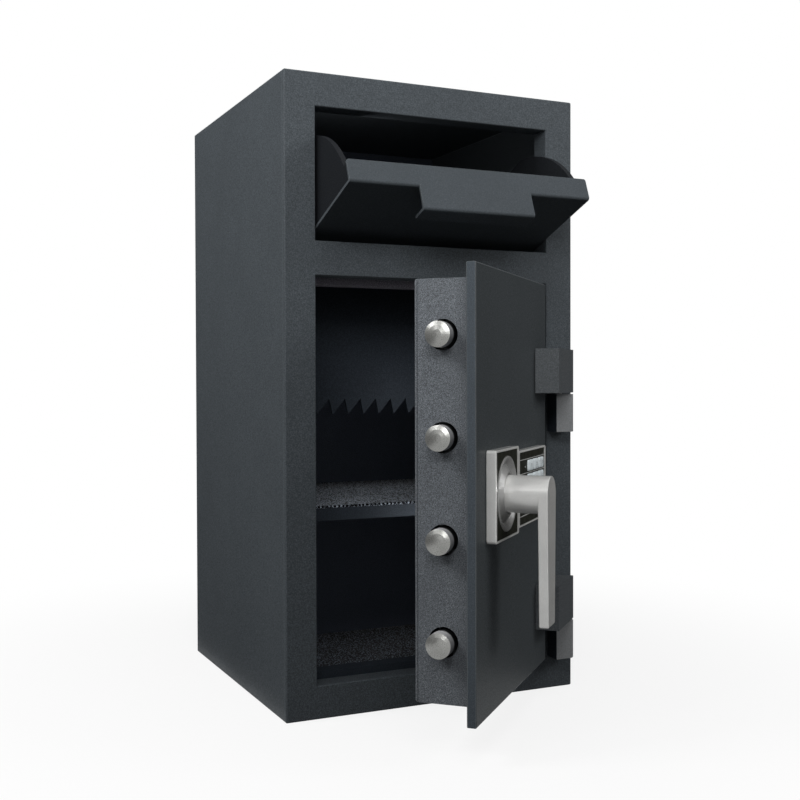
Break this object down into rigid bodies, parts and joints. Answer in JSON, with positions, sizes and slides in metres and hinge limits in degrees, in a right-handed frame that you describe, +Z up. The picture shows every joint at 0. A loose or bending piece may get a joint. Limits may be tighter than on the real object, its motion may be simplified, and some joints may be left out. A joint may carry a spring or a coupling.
{
  "type": "drop safe with deposit drawer",
  "caption": "Upright steel drop safe: tilting deposit drawer above, hinged door with round bolts, lever handle and keypad below, shelf and sawtooth anti-fishing baffle inside.",
  "frame": {"origin": "centre of the underside of the cabinet, on the surface it stands on", "axes": "+Z up, +Y from the door side towards the back, +X to the right as seen from the front"},
  "size_m": [0.3556, 0.5641, 0.6858],
  "materials": {
    "body_paint": "dark grey powder coat with a fine even texture",
    "door_paint": "darker grey powder coat with a fine even texture",
    "inner_paint": "thin dark grey powder coat",
    "carpet": "needle-punched dark grey carpet with pale flecks",
    "bolt_steel": "satin, turned",
    "satin_silver": "satin silver",
    "dark_inlay": "matt black",
    "key_plastic": "bluish white, soft",
    "led_lens": "pale clear lens, unlit"
  },
  "bodies": {
    "root": {"body_wrap": "body_paint", "back_panel": "body_paint", "front_frame": "body_paint", "frame_rail_top": "inner_paint", "frame_rail_bottom": "inner_paint", "door_stop_pad": "inner_paint", "chute_deck": "inner_paint", "sawtooth_baffle": "inner_paint", "shelf": "inner_paint", "shelf_carpet": "carpet", "floor_carpet": "carpet", "shelf_ledge_left": "inner_paint", "shelf_ledge_right": "inner_paint", "hinge_block_body_upper": "body_paint", "hinge_block_body_lower": "body_paint", "hinge_pin_upper": "bolt_steel", "hinge_pin_lower": "bolt_steel", "drawer_pivot_left": "bolt_steel", "drawer_pivot_right": "bolt_steel"},
    "drawer": {"drawer_front": "body_paint", "drawer_cheek_left": "body_paint", "drawer_cheek_right": "body_paint", "drawer_tray": "inner_paint"},
    "door": {"door_plate": "door_paint", "bolt_frame": "body_paint", "bolt_cover": "body_paint", "dead_bar": "bolt_steel", "hinge_block_door_upper": "door_paint", "hinge_block_door_lower": "door_paint", "lock_case": "dark_inlay", "guide_stud_upper": "bolt_steel", "guide_stud_lower": "bolt_steel", "handle_plate": "satin_silver", "handle_inlay": "dark_inlay", "handle_ring": "satin_silver", "keypad_housing": "satin_silver", "keypad_fascia": "dark_inlay", "keypad_led": "led_lens"},
    "handle": {"handle_lever": "satin_silver", "spindle": "bolt_steel", "drive_pinion": "bolt_steel"},
    "boltwork": {"bolt_carriage": "bolt_steel", "lock_lug": "bolt_steel", "bolt_1": "bolt_steel", "bolt_2": "bolt_steel", "bolt_3": "bolt_steel", "bolt_4": "bolt_steel"},
    "lock_bolt": {"lock_bolt": "bolt_steel"},
    "key_row1_column1": {"key_row1_column1": "key_plastic"},
    "key_row1_column2": {"key_row1_column2": "key_plastic"},
    "key_row1_column3": {"key_row1_column3": "key_plastic"},
    "key_row2_column1": {"key_row2_column1": "key_plastic"},
    "key_row2_column2": {"key_row2_column2": "key_plastic"},
    "key_row2_column3": {"key_row2_column3": "key_plastic"},
    "key_row3_column1": {"key_row3_column1": "key_plastic"},
    "key_row3_column2": {"key_row3_column2": "key_plastic"},
    "key_row3_column3": {"key_row3_column3": "key_plastic"},
    "key_row4_column1": {"key_row4_column1": "key_plastic"},
    "key_row4_column2": {"key_row4_column2": "key_plastic"},
    "key_row4_column3": {"key_row4_column3": "key_plastic"}
  },
  "joints": [
    {"name": "door_swing", "type": "hinge", "parent": "root", "child": "door", "pos_m": [0.1522, -0.1903, 0], "axis": [0, 0, 1], "range_deg": [-44.5, 45.5]},
    {"name": "drawer_tilt", "type": "hinge", "parent": "root", "child": "drawer", "pos_m": [0, -0.1578, 0.5365], "axis": [1, 0, 0], "range_deg": [-69.4, 0]},
    {"name": "handle_turn", "type": "hinge", "parent": "door", "child": "handle", "pos_m": [-0.01276, -0.33488, 0.2494], "axis": [0.7009, -0.7133, 0], "range_deg": [0, 90]},
    {"name": "bolt_throw", "type": "slide", "parent": "door", "child": "boltwork", "axis": [-0.7133, -0.7009, 0], "range_m": [0, 0.022]},
    {"name": "lock_bolt_slide", "type": "slide", "parent": "door", "child": "lock_bolt", "axis": [0, 0, 1], "range_m": [0, 0.011]},
    {"name": "press_row1_column1", "type": "slide", "parent": "door", "child": "key_row1_column1", "axis": [-0.7009, 0.7133, 0], "range_m": [0, 0.0015], "stiffness_N_per_m": 300, "springref_m": -0.001},
    {"name": "press_row1_column2", "type": "slide", "parent": "door", "child": "key_row1_column2", "axis": [-0.7009, 0.7133, 0], "range_m": [0, 0.0015], "stiffness_N_per_m": 300, "springref_m": -0.001},
    {"name": "press_row1_column3", "type": "slide", "parent": "door", "child": "key_row1_column3", "axis": [-0.7009, 0.7133, 0], "range_m": [0, 0.0015], "stiffness_N_per_m": 300, "springref_m": -0.001},
    {"name": "press_row2_column1", "type": "slide", "parent": "door", "child": "key_row2_column1", "axis": [-0.7009, 0.7133, 0], "range_m": [0, 0.0015], "stiffness_N_per_m": 300, "springref_m": -0.001},
    {"name": "press_row2_column2", "type": "slide", "parent": "door", "child": "key_row2_column2", "axis": [-0.7009, 0.7133, 0], "range_m": [0, 0.0015], "stiffness_N_per_m": 300, "springref_m": -0.001},
    {"name": "press_row2_column3", "type": "slide", "parent": "door", "child": "key_row2_column3", "axis": [-0.7009, 0.7133, 0], "range_m": [0, 0.0015], "stiffness_N_per_m": 300, "springref_m": -0.001},
    {"name": "press_row3_column1", "type": "slide", "parent": "door", "child": "key_row3_column1", "axis": [-0.7009, 0.7133, 0], "range_m": [0, 0.0015], "stiffness_N_per_m": 300, "springref_m": -0.001},
    {"name": "press_row3_column2", "type": "slide", "parent": "door", "child": "key_row3_column2", "axis": [-0.7009, 0.7133, 0], "range_m": [0, 0.0015], "stiffness_N_per_m": 300, "springref_m": -0.001},
    {"name": "press_row3_column3", "type": "slide", "parent": "door", "child": "key_row3_column3", "axis": [-0.7009, 0.7133, 0], "range_m": [0, 0.0015], "stiffness_N_per_m": 300, "springref_m": -0.001},
    {"name": "press_row4_column1", "type": "slide", "parent": "door", "child": "key_row4_column1", "axis": [-0.7009, 0.7133, 0], "range_m": [0, 0.0015], "stiffness_N_per_m": 300, "springref_m": -0.001},
    {"name": "press_row4_column2", "type": "slide", "parent": "door", "child": "key_row4_column2", "axis": [-0.7009, 0.7133, 0], "range_m": [0, 0.0015], "stiffness_N_per_m": 300, "springref_m": -0.001},
    {"name": "press_row4_column3", "type": "slide", "parent": "door", "child": "key_row4_column3", "axis": [-0.7009, 0.7133, 0], "range_m": [0, 0.0015], "stiffness_N_per_m": 300, "springref_m": -0.001}
  ],
  "couplings": [
    {"joint": "bolt_throw", "follows": "handle_turn", "m_per_rad": 0.014}
  ]
}
